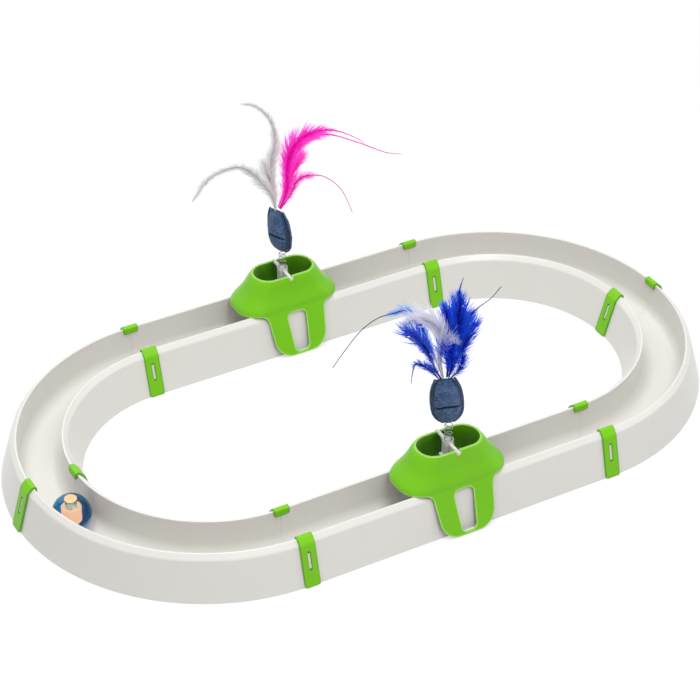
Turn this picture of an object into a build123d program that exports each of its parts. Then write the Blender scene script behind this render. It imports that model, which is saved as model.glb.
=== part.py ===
from build123d import *
import os
from math import cos, degrees, hypot, pi, radians, sin, sqrt

# Cat ball track toy: an oval track of six clipped pieces, two rocking feather teasers and a light-up ball.
# Millimetres. +X along the straights, +Y across the oval, +Z up. The origin is the oval's centre on the floor.

# Oval
bend_radius = 175.0
straight_length = 350.0
joint_gap = 0.15

# Track section, measured across from the ball's side in the middle of the channel
ball_diameter = 40.0
ball_side_clearance = 1.6
wall = 2.0
floor_height = 7.0
channel_fillet = 14.0
wall_draft = 1.0
rim_height = 48.4
rim_width = 2.0
rim_round = 0.9
shoulder_reach = 7.8
shoulder_drop = 5.0
shoulder_round = 5.0
foot_reach = 19.9

# Latch ribs on the skirt at each joint, and the clips that they hold
rib_low = 18.6
rib_drop = 14.0
rib_depth = 1.2
rib_stand = 1.6
rib_clearance = 0.25
clip_width = 16.5
clip_thickness = 1.8
clip_clearance = 0.4
clip_lip = 5.5
clip_bend = 2.6
clip_foot = 0.6
clip_corner = 2.0

# Hoods over the straights
cover_wall = 2.0
cover_clearance = 0.4
flange_half_length = 60.0
flange_corner = 25.0
flange_drop = 1.5
neck_height = 35.0
mouth_half_length = 36.0
mouth_half_width = 19.0
mouth_corner = 18.5
collar_foot = 54.0
leg_top_half_width = 35.0
leg_foot_half_width = 29.0
leg_foot = 0.6
leg_flare = 5.0
leg_ear = 9.0
leg_corner = 20.0
window_top_half_width = 11.6
window_foot_half_width = 8.3
window_top_drop = 3.5
window_foot = 3.0
window_corner = 6.0

# Rockers
axle_diameter = 4.0
axle_clearance = 0.08
axle_drop = 2.2
axle_stand = 2.4
web_thickness = 2.4
web_height = 9.0
hub_diameter = 11.0
hub_rise = 4.0
stem_length = 15.0
stem_width = 9.0
stem_depth = 8.5
post_length = 42.0
post_width = 13.0
post_depth = 12.0
slug_width = 10.0
slug_depth = 9.0
slug_length = 23.0
slug_recess = 2.0
slug_clearance = 0.1

# Springs
spring_diameter = 8.8
spring_wire = 1.0
spring_turns = 3.5
spring_end_rise = 2.6
spring_seat_depth = 2.4
spring_seat_clearance = 0.4
soft_clearance = 0.3
root_clearance = 0.5

# Pods, their lean on the springs, and the yaw of their flat sides and of the fans of feathers
pod_rise = 24.0
pod_height = 55.0
pod_width = 35.0
pod_thickness = 21.0
pod_lean_angle = 6.0
front_pod_yaw = -25.0
front_fan_yaw = -25.0
rear_pod_yaw = -70.0
rear_fan_yaw = -10.0

# Feathers
quill_width = 1.6
vane_thickness = 0.5
feather_spacing = 1.3
feather_fan_angle = 5.0
feather_size = 100.0

# Ball and the light inside it
ball_wall = 1.6
ball_lift = 0.3
ball_angle = -168.5
ball_post_diameter = 12.0
case_diameter = 20.0
case_height = 16.0
case_wall = 1.2
case_clearance = 0.2
cell_diameter = 11.6
cell_height = 3.05
cell_count = 2
board_thickness = 1.0
lamp_diameter = 3.0
lamp_height = 4.6
lamp_offset = 3.4
switch_diameter = 3.2
switch_height = 4.4
switch_offset = -3.8

os.makedirs("parts", exist_ok=True)


def save(shape, node):
    export_step(shape, f"parts/{node}.step")


def moved_line(start, end, distance):
    # A line moved to its left by the distance
    length = hypot(end[0] - start[0], end[1] - start[1])
    x = -(end[1] - start[1]) / length * distance
    y = (end[0] - start[0]) / length * distance
    return (start[0] + x, start[1] + y), (end[0] + x, end[1] + y)


def meeting(first, second):
    # The point where two lines cross
    (x1, y1), (x2, y2) = first
    (x3, y3), (x4, y4) = second
    across = (x1 - x2) * (y3 - y4) - (y1 - y2) * (x3 - x4)
    one = x1 * y2 - y1 * x2
    two = x3 * y4 - y3 * x4
    return (one * (x3 - x4) - (x1 - x2) * two) / across, (one * (y3 - y4) - (y1 - y2) * two) / across


def level(height):
    return (0.0, height), (1.0, height)


def mirrored(points):
    return [(-x, y) for x, y in points]


def rounded_face(points, radii):
    return make_face(FilletPolyline(*points, radius=radii, close=True))


# Upper line of one half of the track section, from the channel's floor out to the foot
channel_half_width = ball_diameter / 2 + ball_side_clearance
shoulder_half_width = channel_half_width + shoulder_reach
shoulder_height = rim_height - shoulder_drop
foot_half_width = channel_half_width + foot_reach
rib_high = rim_height - rib_drop
floor_corner = (channel_half_width, floor_height)
rim_inner = (channel_half_width + wall_draft, rim_height)
rim_outer = (channel_half_width + wall_draft + rim_width, rim_height)
shoulder = (shoulder_half_width, shoulder_height)
foot = (foot_half_width, 0.0)
upper_lines = {
    "channel": (floor_corner, rim_inner),
    "rim": (rim_inner, rim_outer),
    "shoulder": (rim_outer, shoulder),
    "skirt": (shoulder, foot),
}


def beside(name, distance):
    # One of the upper lines, moved away from the track by the distance
    return moved_line(*upper_lines[name], distance)


def skirt_point(height, stand):
    # The point of the skirt's outer face at a height, moved out square to that face
    x, y = meeting(upper_lines["skirt"], level(height))
    spread = foot_half_width - shoulder_half_width
    slope = hypot(spread, shoulder_height)
    return x + shoulder_height / slope * stand, y + spread / slope * stand


def track_section():
    upper = [foot, shoulder, rim_outer, rim_inner, floor_corner]
    upper_radii = [0, shoulder_round, rim_round, rim_round, channel_fillet]
    under = [
        meeting(beside("channel", -wall), level(floor_height - wall)),
        meeting(beside("channel", -wall), beside("shoulder", -wall)),
        meeting(beside("shoulder", -wall), beside("skirt", -wall)),
        meeting(beside("skirt", -wall), level(0.0)),
    ]
    under_radii = [channel_fillet + wall, 0, max(shoulder_round - wall, 0), 0]
    points = upper + mirrored(upper[::-1]) + mirrored(under[::-1]) + under
    radii = upper_radii + upper_radii[::-1] + under_radii[::-1] + under_radii
    return rounded_face(points, radii)


def end_ribs(origin, into):
    # The latch ribs on both skirts at one end of a track piece
    plane = Plane(origin, x_dir=Vector(0, 0, 1).cross(Vector(into)), z_dir=into)
    rib = [
        skirt_point(rib_low, -wall / 2),
        skirt_point(rib_high, -wall / 2),
        skirt_point(rib_high, rib_stand),
        skirt_point(rib_low, rib_stand),
    ]
    faces = [make_face(Polyline(*points, close=True)) for points in (rib, mirrored(rib))]
    return [extrude(plane * face, amount=rib_depth, dir=into) for face in faces]


def straight_track():
    half_length = (straight_length - joint_gap) / 2
    body = extrude(Plane.YZ * track_section(), amount=half_length, both=True)
    for side in (1, -1):
        for rib in end_ribs((side * half_length, 0, 0), (-side, 0, 0)):
            body += rib
    return body


def curve_track():
    # A quarter bend about the Z axis, from +X round to +Y
    trim = degrees(joint_gap / 2 / bend_radius)
    section = Plane.XZ * Pos(bend_radius, 0) * track_section()
    body = Rot(0, 0, trim) * revolve(section, Axis.Z, 90 - 2 * trim)
    for turn, side in ((trim, 1), (90 - trim, -1)):
        for rib in end_ribs((bend_radius, 0, 0), (0, side, 0)):
            body += Rot(0, 0, turn) * rib
    return body


def strap_line(stand):
    # A line round the +Y rim at a distance from it, from the foot up and over into the channel
    return [
        meeting(beside("skirt", stand), level(clip_foot)),
        meeting(beside("skirt", stand), beside("shoulder", stand)),
        meeting(beside("shoulder", stand), beside("rim", stand)),
        meeting(beside("rim", stand), beside("channel", stand)),
        meeting(beside("channel", stand), level(rim_height - clip_lip)),
    ]


def clip():
    # A strap over the +Y rim of a track along X, with the slot that takes the latch ribs
    near = clip_clearance
    far = clip_clearance + clip_thickness
    near_radii = [0, shoulder_round + near, rim_round + near, rim_round + near, 0]
    far_radii = [0, shoulder_round + far, clip_bend, clip_bend, 0]
    profile = rounded_face(strap_line(near) + strap_line(far)[::-1], near_radii + far_radii[::-1])
    strap = extrude(Plane.YZ * profile, amount=clip_width / 2, both=True)
    ends = strap.edges().filter_by(Axis.Y).group_by(Axis.Z)
    strap = fillet(ends[0] + ends[1], clip_corner)
    low = Vector(0, *skirt_point(rib_low, 0))
    high = Vector(0, *skirt_point(rib_high, 0))
    slot_half_width = joint_gap / 2 + rib_depth + rib_clearance
    slot_length = (high - low).length + 2 * (rib_clearance + slot_half_width)
    slot_plane = Plane((low + high) / 2, x_dir=high - low, z_dir=(high - low).cross(Vector(1, 0, 0)))
    slot = slot_plane * SlotOverall(slot_length, 2 * slot_half_width)
    return strap - extrude(slot, amount=far + clip_thickness, both=True)


# Heights and places that the hoods and rockers share
flange_height = rim_height + cover_clearance
leg_line = beside("skirt", cover_clearance + cover_wall)
flange_half_width = meeting(leg_line, level(flange_height))[0]
leg_spread = meeting(leg_line, level(leg_foot))[0] + leg_flare - flange_half_width
mouth_height = flange_height + neck_height
axle_height = mouth_height - axle_drop
pod_bottom = axle_height + pod_rise
pod_top = pod_bottom + pod_height


def hood_section(share, height, inset):
    # A section of the hood: share 0 is the flange's outline and share 1 the mouth's
    half_length = flange_half_length + (mouth_half_length - flange_half_length) * share - inset
    half_width = flange_half_width + (mouth_half_width - flange_half_width) * share - inset
    corner = flange_corner + (mouth_corner - flange_corner) * share - inset
    return Plane.XY.offset(height) * RectangleRounded(2 * half_length, 2 * half_width, corner)


def hood_shell():
    # Shares of the neck's height and of the way from the flange's outline to the mouth's
    stations = ((0.0, 0.0), (0.1, 0.05), (0.35, 0.34), (0.7, 0.71), (1.0, 1.0))
    outside = []
    inside = []
    for station, share in stations:
        height = flange_height + neck_height * station
        outside.append(hood_section(share, height, 0))
        inside.append(hood_section(share, height - flange_drop * (1 - station), cover_wall))
    inside.append(hood_section(1.0, mouth_height + cover_wall, cover_wall))
    return loft(outside) - loft(inside)


def collar():
    # The throat that hangs under the mouth and hides the track
    outside = extrude(hood_section(1.0, collar_foot, 0), amount=mouth_height - collar_foot)
    return outside - extrude(hood_section(1.0, collar_foot, cover_wall), amount=mouth_height - collar_foot)


def skirt_section(share, inset):
    # A level section of the sheet that the legs are cut from: share 0 is at the flange and share 1 at the feet
    spread = leg_spread * share - inset
    height = flange_height + (leg_foot - flange_height) * share
    outline = RectangleRounded(
        2 * (flange_half_length + spread), 2 * (flange_half_width + spread), flange_corner + spread
    )
    return Plane.XY.offset(height) * outline


def hood_skirt():
    outside = loft([skirt_section(0, 0), skirt_section(1, 0)], ruled=True)
    return outside - loft([skirt_section(-0.1, cover_wall), skirt_section(1.1, cover_wall)], ruled=True)


def leg_outline():
    # The legs seen along Y, with a hollow curve up to the flange on each side
    reach = leg_top_half_width + 2 * leg_ear
    half = [
        (leg_foot_half_width, leg_foot),
        (leg_top_half_width, flange_height),
        (reach, flange_height),
        (reach, mouth_height),
    ]
    radii = [leg_corner, leg_ear, 0, 0]
    return rounded_face(half + mirrored(half[::-1]), radii + radii[::-1])


def window_outline():
    top = flange_height - window_top_drop
    half = [(window_foot_half_width, window_foot), (window_top_half_width, top)]
    return rounded_face(half + mirrored(half[::-1]), window_corner)


def cover():
    # The hood astride a straight, centred on the straight's middle
    across = 2 * foot_half_width
    outline = extrude(Plane.XZ * leg_outline(), amount=across, both=True)
    window = extrude(Plane.XZ * window_outline(), amount=across, both=True)
    body = hood_shell() + collar()
    body += (hood_skirt() & outline) - window
    notch_radius = axle_diameter / 2 + axle_clearance
    notch = Pos(0, 0, axle_height) * Rot(90, 0, 0) * Cylinder(notch_radius, across)
    notch += Pos(0, 0, axle_height + axle_diameter) * Box(2 * notch_radius, across, 2 * axle_diameter)
    return body - notch


def rocker():
    # Axle, hub, stem and hanging post, with the axle's middle at the origin
    axle = Rot(90, 0, 0) * Cylinder(axle_diameter / 2, 2 * (mouth_half_width + axle_stand))
    hub = Pos(0, 0, hub_rise / 2) * Cylinder(hub_diameter / 2, hub_rise)
    round_centre = post_length - post_width / 2
    stem = Pos(0, 0, -stem_length / 2) * Box(stem_width, stem_depth, stem_length)
    straight = round_centre - stem_length
    post = Pos(0, 0, -stem_length - straight / 2) * Box(post_width, post_depth, straight)
    post += Pos(0, 0, -round_centre) * Rot(90, 0, 0) * Cylinder(post_width / 2, post_depth)
    arm = mouth_half_width - cover_wall - axle_diameter / 2
    web_points = [(-arm, 0), (arm, 0), (stem_depth / 2, -web_height), (-stem_depth / 2, -web_height)]
    web_face = Plane.YZ * make_face(Polyline(*web_points, close=True))
    web = extrude(web_face, amount=web_thickness / 2, both=True)
    body = post + stem + hub + axle + web
    seat_outer = spring_diameter / 2 + spring_seat_clearance
    seat_inner = spring_diameter / 2 - spring_wire - spring_seat_clearance
    seat = Cylinder(seat_outer, 2 * spring_seat_depth) - Cylinder(seat_inner, 2 * spring_seat_depth)
    pocket_top = slug_recess + slug_length - post_length
    pocket_width = slug_width + 2 * slug_clearance
    pocket_depth = slug_depth + 2 * slug_clearance
    pocket_length = slug_length + slug_recess
    pocket = Pos(0, 0, pocket_top - pocket_length / 2) * Box(pocket_width, pocket_depth, pocket_length)
    return body - Pos(0, 0, hub_rise) * seat - pocket


def counterweight():
    return Pos(0, 0, slug_recess + slug_length / 2 - post_length) * Box(slug_width, slug_depth, slug_length)


def biarc(start, start_direction, end, end_direction):
    # Two arcs that join two points with a direction at each
    span = end - start
    total = start_direction + end_direction
    spread = 2 * (1 - start_direction.dot(end_direction))
    along = span.dot(total)
    reach = (sqrt(along * along + spread * span.dot(span)) - along) / spread
    first = start + start_direction * reach
    second = end - end_direction * reach
    middle = (first + second) * 0.5
    return [TangentArc(start, middle, tangent=start_direction), TangentArc(middle, end, tangent=second - first)]


def spring(yaw):
    # A coil from the hub's seat up to the pod, on the Z axis, with its top end on the pod's flat side
    radius = (spring_diameter - spring_wire) / 2
    quarters = round(4 * spring_turns)
    low = axle_height + hub_rise - spring_seat_depth
    high = pod_bottom - soft_clearance
    straight = spring_wire
    climb = high - low - 2 * straight - 2 * spring_end_rise
    rise = climb / (quarters - 2)
    upright = Vector(0, 0, 1)
    points = []
    directions = []
    for quarter in range(quarters + 1):
        turn = radians(yaw) + (quarter - quarters) * pi / 2
        height = low + straight + spring_end_rise + (quarter - 1) * rise
        direction = Vector(-sin(turn) * radius * pi / 2, cos(turn) * radius * pi / 2, rise).normalized()
        if quarter == 0:
            height = low + straight
            direction = upright
        if quarter == quarters:
            height = high - straight
            direction = upright
        points.append(Vector(radius * cos(turn), radius * sin(turn), height))
        directions.append(direction)
    edges = [Line(points[0] - upright * straight, points[0])]
    for quarter in range(quarters):
        edges += biarc(points[quarter], directions[quarter], points[quarter + 1], directions[quarter + 1])
    edges.append(Line(points[-1], points[-1] + upright * straight))
    path = Wire(edges)
    coil = sweep(Plane(path @ 0, z_dir=(0, 0, 1)) * Circle(spring_wire / 2), path=path)
    report_coil(path, coil, quarters)
    return coil


def report_coil(path, coil, quarters):
    # Prints the coil's volume against its wire, and its least gap to itself
    steps = 16 * quarters
    points = [path @ (step / steps) for step in range(steps + 1)]
    apart = round(steps / spring_turns / 2)
    pairs = [(a, b) for a in range(steps + 1) for b in range(a + apart, steps + 1)]
    gap = min((points[a] - points[b]).length for a, b in pairs) - spring_wire
    share = coil.volume / (path.length * pi * spring_wire**2 / 4)
    print(f"spring: wire {path.length:.1f} mm, volume share {share:.3f}, least gap to itself {gap:.2f} mm")


def lens(half_width, half_thickness):
    # A flat lens between two arcs, its points on X
    top = ThreePointArc((-half_width, 0), (0, half_thickness), (half_width, 0))
    bottom = ThreePointArc((half_width, 0), (0, -half_thickness), (-half_width, 0))
    return make_face([top, bottom])


def pod():
    # A stuffed pouch that swells between its side seams and tapers to both ends, its foot at the origin
    stations = [
        (0.0, 0.38, 0.26),
        (0.08, 0.70, 0.58),
        (0.24, 0.94, 0.90),
        (0.48, 1.0, 1.0),
        (0.74, 0.93, 0.84),
        (0.91, 0.72, 0.55),
        (1.0, 0.50, 0.30),
    ]
    sections = []
    for share, width, thickness in stations:
        plane = Plane.XY.offset(pod_height * share)
        sections.append(plane * lens(pod_width / 2 * width, pod_thickness / 2 * thickness))
    return loft(sections)


def feather(slot, root, via, tip, width):
    # A thin flat vane on an arc, in its own plane of the fan, from a root along the leaning pod's top edge
    lean = slot * feather_fan_angle
    base = Plane((0, slot * feather_spacing, pod_top + root_clearance), x_dir=(1, 0, 0), z_dir=(0, -1, 0))
    fan = Plane(base.location * Rot(-lean, 0, 0))
    lean_sine = sin(radians(pod_lean_angle))
    lean_cosine = cos(radians(pod_lean_angle))
    start = (
        root * feather_size * lean_cosine - pod_height * lean_sine,
        root * feather_size * lean_sine - pod_height * (1 - lean_cosine),
    )
    way = [(across * feather_size, above * feather_size) for across, above in (via, tip)]
    path = fan * ThreePointArc(start, *way)
    widest = width * feather_size
    stations = [
        (0.0, quill_width),
        (0.12, 0.45 * widest),
        (0.32, 0.95 * widest),
        (0.56, widest),
        (0.8, 0.68 * widest),
        (1.0, quill_width),
    ]
    sections = []
    for share, across in stations:
        section = Plane(path @ share, x_dir=fan.z_dir.cross(path % share), z_dir=path % share)
        sections.append(section * Rectangle(across, vane_thickness))
    return loft(sections)


# Each feather's place in the fan, then root, a point on its way, tip and width as shares of the size
blue_feathers = [
    (-2.5, -0.03, (-0.27, 0.21), (-0.38, -0.01), 0.08),
    (-1.5, -0.02, (-0.26, 0.33), (-0.43, 0.59), 0.2),
    (0.5, 0.02, (0.04, 0.49), (0.09, 1.12), 0.17),
    (1.5, 0.05, (0.15, 0.52), (0.47, 0.94), 0.12),
    (2.5, 0.0, (-0.46, 0.61), (-1.12, 0.12), 0.09),
]
front_white_feathers = [
    (-0.5, 0.0, (-0.17, 0.43), (-0.48, 0.69), 0.14),
]
pink_feathers = [
    (-1.0, 0.02, (0.46, 0.37), (0.82, -0.22), 0.1),
    (0.0, 0.02, (0.22, 0.69), (0.91, 0.64), 0.17),
    (2.0, 0.015, (0.54, 0.67), (1.39, 0.37), 0.11),
]
rear_white_feathers = [
    (-2.0, -0.015, (-0.38, 0.63), (-1.0, 0.35), 0.14),
    (1.0, -0.01, (-0.06, 0.75), (-0.39, 1.3), 0.15),
]


def teaser(name, side, pod_yaw, fan_yaw, bunches):
    # The hood, rocker, spring, pod and feathers on one straight
    place = Pos(0, side * bend_radius, 0)
    turned = place * Rot(0, 0, fan_yaw)
    leaning = turned * Pos(0, 0, pod_bottom) * Rot(0, -pod_lean_angle, 0) * Rot(0, 0, pod_yaw - fan_yaw)
    at_axle = place * Pos(0, 0, axle_height)
    save(place * cover(), f"feather_cover_{name}")
    save(at_axle * rocker(), f"rocker_{name}")
    save(at_axle * counterweight(), f"counterweight_{name}")
    save(place * spring(pod_yaw), f"spring_{name}")
    save(leaning * pod(), f"pod_{name}")
    for colour, feathers in bunches.items():
        vanes = [turned * feather(*settings) for settings in feathers]
        save(Compound([vane.solid() for vane in vanes]), f"{colour}_feathers_{name}")


def ball_shell(side):
    # Half of the ball, with the post that holds the light's case
    radius = ball_diameter / 2
    hollow = radius - ball_wall
    whole = Sphere(radius) - Sphere(hollow)
    half = whole & Pos(0, 0, side * radius / 2) * Box(ball_diameter, ball_diameter, radius)
    stem = (hollow + ball_wall / 2) - case_height / 2
    post = Pos(0, 0, side * (case_height / 2 + stem / 2)) * Cylinder(ball_post_diameter / 2, stem)
    return half + (post & Sphere(radius - ball_wall / 2))


def ball():
    turn = radians(ball_angle)
    x = -straight_length / 2 + bend_radius * cos(turn)
    y = bend_radius * sin(turn)
    place = Pos(x, y, floor_height + ball_lift + ball_diameter / 2)
    save(place * ball_shell(-1), "ball_shell_lower")
    save(place * ball_shell(1), "ball_shell_upper")
    bottom = -case_height / 2
    lid_low = case_height / 2 - case_wall
    cup_height = case_height - case_wall
    cup = Pos(0, 0, bottom + cup_height / 2) * Cylinder(case_diameter / 2, cup_height)
    bore = Pos(0, 0, bottom + case_wall + cup_height / 2) * Cylinder(case_diameter / 2 - case_wall, cup_height)
    save(place * (cup - bore), "light_case")
    save(place * Pos(0, 0, lid_low + case_wall / 2) * Cylinder(case_diameter / 2, case_wall), "light_case_lid")
    cells_low = bottom + case_wall
    cells = []
    for cell in range(cell_count):
        centre = cells_low + cell_height * (cell + 0.5)
        cells.append((place * Pos(0, 0, centre) * Cylinder(cell_diameter / 2, cell_height)).solid())
    save(Compound(cells), "button_cells")
    board_low = cells_low + cell_count * cell_height
    board_radius = case_diameter / 2 - case_wall - case_clearance
    board = Pos(0, 0, board_low + board_thickness / 2) * Cylinder(board_radius, board_thickness)
    save(place * board, "circuit_board")
    board_top = board_low + board_thickness
    stem = lamp_height - lamp_diameter / 2
    lamp = Pos(lamp_offset, 0, board_top + stem / 2) * Cylinder(lamp_diameter / 2, stem)
    lamp += Pos(lamp_offset, 0, board_top + stem) * Sphere(lamp_diameter / 2)
    save(place * lamp, "led_lamp")
    switch = Pos(switch_offset, 0, board_top + switch_height / 2) * Cylinder(switch_diameter / 2, switch_height)
    save(place * switch, "motion_switch")


def tracks_and_clips():
    straight = straight_track()
    save(Pos(0, -bend_radius, 0) * straight, "straight_track_front")
    save(Pos(0, bend_radius, 0) * straight, "straight_track_rear")
    curve = curve_track()
    half = straight_length / 2
    for name, x, turn in (
        ("rear_right", half, 0),
        ("rear_left", -half, 90),
        ("front_left", -half, 180),
        ("front_right", half, 270),
    ):
        save(Pos(x, 0, 0) * Rot(0, 0, turn) * curve, f"curve_track_{name}")
    strap = clip()
    end = half + bend_radius
    for name, x, y, outward in (
        ("front_left", -half, -bend_radius, -90),
        ("front_right", half, -bend_radius, -90),
        ("rear_left", -half, bend_radius, 90),
        ("rear_right", half, bend_radius, 90),
        ("left_end", -end, 0, 180),
        ("right_end", end, 0, 0),
    ):
        save(Pos(x, y, 0) * Rot(0, 0, outward - 90) * strap, f"outer_clip_{name}")
        save(Pos(x, y, 0) * Rot(0, 0, outward + 90) * strap, f"inner_clip_{name}")


tracks_and_clips()
teaser("front", -1, front_pod_yaw, front_fan_yaw, {"blue": blue_feathers, "white": front_white_feathers})
teaser("rear", 1, rear_pod_yaw, rear_fan_yaw, {"pink": pink_feathers, "white": rear_white_feathers})
ball()
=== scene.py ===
import bpy
import bmesh
import math
from mathutils import Matrix, Vector
from mathutils.bvhtree import BVHTree


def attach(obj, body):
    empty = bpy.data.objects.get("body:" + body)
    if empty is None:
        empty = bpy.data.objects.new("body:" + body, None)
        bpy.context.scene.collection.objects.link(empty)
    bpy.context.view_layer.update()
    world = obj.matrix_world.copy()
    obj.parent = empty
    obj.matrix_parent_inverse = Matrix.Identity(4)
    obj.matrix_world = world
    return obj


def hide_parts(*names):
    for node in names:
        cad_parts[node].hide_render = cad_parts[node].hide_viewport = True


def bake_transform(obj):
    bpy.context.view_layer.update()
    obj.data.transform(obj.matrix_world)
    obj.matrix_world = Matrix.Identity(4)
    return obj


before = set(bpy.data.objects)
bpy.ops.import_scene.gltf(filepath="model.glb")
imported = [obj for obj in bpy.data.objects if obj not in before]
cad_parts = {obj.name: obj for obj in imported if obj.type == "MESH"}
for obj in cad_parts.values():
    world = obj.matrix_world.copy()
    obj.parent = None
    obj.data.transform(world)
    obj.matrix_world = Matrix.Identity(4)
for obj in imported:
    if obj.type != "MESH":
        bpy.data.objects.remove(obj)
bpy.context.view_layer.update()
scene = bpy.context.scene
mm = 0.001
trackRadius = 175 * mm  # middle of the channel in the bends
podBottom = 105.6 * mm
fanFoot = 157.9 * mm  # height of the feathers' foot, just under the tops of the pods
podLean = 6.0  # degrees off upright
teasers = {  # each teaser's straight, and the turns of its pod and of its fan of feathers in degrees
    "front": {"y": -trackRadius, "podYaw": -25, "fanYaw": -25},
    "rear": {"y": trackRadius, "podYaw": -70, "fanYaw": -10},
}
print("frame loaded:", len(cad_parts), "nodes")


def linear(code):  # sRGB hex to linear colour
    parts = [int(code[i:i + 2], 16) / 255 for i in (1, 3, 5)]
    return [p / 12.92 if p <= 0.04045 else ((p + 0.055) / 1.055) ** 2.4 for p in parts] + [1.0]


def setInputs(tree, node, inputs):  # each input takes a plain value, or a link from a socket or a node
    for name, value in inputs.items():
        if isinstance(value, bpy.types.Node):
            value = value.outputs[0]
        if isinstance(value, bpy.types.NodeSocket):
            tree.links.new(value, node.inputs[name])
        else:
            node.inputs[name].default_value = value


def addNode(tree, kind, inputs=None, **settings):  # one node with its settings, values and links
    node = tree.nodes.new(kind)
    for name, value in settings.items():
        setattr(node, name, value)
    setInputs(tree, node, inputs or {})
    return node


def newMaterial(name):  # a material with its tree, its shader and its output node
    material = bpy.data.materials.new(name)
    material.use_nodes = True
    tree = material.node_tree
    tree.nodes.clear()
    shader = addNode(tree, "ShaderNodeBsdfPrincipled")
    surface = addNode(tree, "ShaderNodeOutputMaterial", {"Surface": shader})
    return material, tree, shader, surface


def newObject(name, data):
    obj = bpy.data.objects.new(name, data)
    scene.collection.objects.link(obj)
    return obj


# Camera at the photograph's view
cameraPlace = {
    "eyeMm": (-961.7, -1675.4, 1471.3),
    "targetMm": (47.05, 106.34, 0.0),
    "rollDegrees": 0.493,
    "lensMm": 117.35,
    "sensorMm": 36.0,
    "farMetres": 60,
}


def placeCamera(s):
    eye = Vector(s["eyeMm"]) * mm
    ahead = (Vector(s["targetMm"]) * mm - eye).normalized()
    level = ahead.cross(Vector((0, 0, 1))).normalized()
    rise = level.cross(ahead)
    roll = math.radians(s["rollDegrees"])
    right = level * math.cos(roll) + rise * math.sin(roll)
    up = rise * math.cos(roll) - level * math.sin(roll)
    data = bpy.data.cameras.new("photoCamera")
    data.lens = s["lensMm"]
    data.sensor_width = s["sensorMm"]
    data.clip_end = s["farMetres"]
    camera = newObject("photoCamera", data)
    camera.matrix_world = Matrix.Translation(eye) @ Matrix((right, up, -ahead)).transposed().to_4x4()
    scene.camera = camera


placeCamera(cameraPlace)
print("camera placed")

# Studio: white sweep, soft lamps, even surrounding light
studio = {
    "surround": 0.58,
    "white": "#ffffff",
    "floorColour": "#eeeeee",
    "bounceColour": "#c6c6c6",  # what the floor throws back at the toy
    "floorRoughness": 0.9,
    "floorRadius": 7.0,
    "floorSides": 96,
    "floorDropMm": 0.3,
    "floorGlow": 0.6,  # share of plain white that the eye sees in the floor, the rest takes the shadow
    "floorFade": (0.9, 2.4),  # metres from the toy over which the floor goes over to plain white
    "lamps": [  # name, place, size in metres, watts
        ("keyLamp", (0.0, -1.5, 2.6), 1.2, 27),
        ("topLamp", (-0.45, -0.05, 2.7), 1.5, 38),
        ("sideLamp", (2.3, -1.2, 1.4), 1.4, 6),
        ("backLamp", (-0.6, 2.4, 1.6), 1.6, 9),
    ],
}


def seenDirectly(tree):  # 1 where the eye, a reflection or a clear part looks straight at the surface
    path = addNode(tree, "ShaderNodeLightPath").outputs
    first = addNode(tree, "ShaderNodeMath", {
        0: path["Is Camera Ray"], 1: path["Is Glossy Ray"],
    }, operation="MAXIMUM")
    return addNode(tree, "ShaderNodeMath", {
        0: first, 1: path["Is Transmission Ray"],
    }, operation="MAXIMUM")


def floorPaint(s):  # gives matt white paint that goes over to plain white and takes only a soft shadow
    material, tree, shader, surface = newMaterial("paintedStudioFloor")
    direct = seenDirectly(tree)
    tone = addNode(tree, "ShaderNodeMix", {
        "Factor": direct, 6: linear(s["bounceColour"]), 7: linear(s["floorColour"]),
    }, data_type="RGBA")
    setInputs(tree, shader, {
        "Base Color": tone.outputs[2], "Roughness": s["floorRoughness"], "Specular IOR Level": 0.0,
    })
    glow = addNode(tree, "ShaderNodeEmission", {"Color": linear(s["white"]), "Strength": 1.0})
    place = addNode(tree, "ShaderNodeTexCoord").outputs["Object"]
    distance = addNode(tree, "ShaderNodeVectorMath", {0: place}, operation="LENGTH").outputs["Value"]
    near, far = s["floorFade"]
    fade = addNode(tree, "ShaderNodeMapRange", {
        "Value": distance, "From Min": near, "From Max": far, "To Min": s["floorGlow"],
    })
    share = addNode(tree, "ShaderNodeMath", {0: direct, 1: fade}, operation="MULTIPLY")
    mix = addNode(tree, "ShaderNodeMixShader", {0: share, 1: shader, 2: glow})
    setInputs(tree, surface, {"Surface": mix})
    return material


def lightStudio(s):
    world = bpy.data.worlds.new("whiteStudio")
    scene.world = world
    world.use_nodes = True
    tree = world.node_tree
    tree.nodes.clear()
    colour = linear(s["white"])
    around = addNode(tree, "ShaderNodeBackground", {"Color": colour, "Strength": s["surround"]})
    white = addNode(tree, "ShaderNodeBackground", {"Color": colour, "Strength": 1.0})
    both = addNode(tree, "ShaderNodeMixShader", {0: seenDirectly(tree), 1: around, 2: white})
    addNode(tree, "ShaderNodeOutputWorld", {"Surface": both})
    for name, place, size, watts in s["lamps"]:
        data = bpy.data.lights.new(name, "AREA")
        data.size = size
        data.energy = watts
        lamp = newObject(name, data)
        lamp.location = place
        lamp.rotation_euler = Vector(place).to_track_quat("Z", "Y").to_euler()
    shape = bmesh.new()
    bmesh.ops.create_circle(shape, cap_ends=True, segments=s["floorSides"], radius=s["floorRadius"])
    bmesh.ops.translate(shape, verts=shape.verts, vec=(0, 0, -s["floorDropMm"] * mm))
    mesh = bpy.data.meshes.new("studioFloor")
    shape.to_mesh(mesh)
    shape.free()
    mesh.materials.append(floorPaint(s))
    newObject("studioFloor", mesh)


lightStudio(studio)
print("studio lit")


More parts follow.
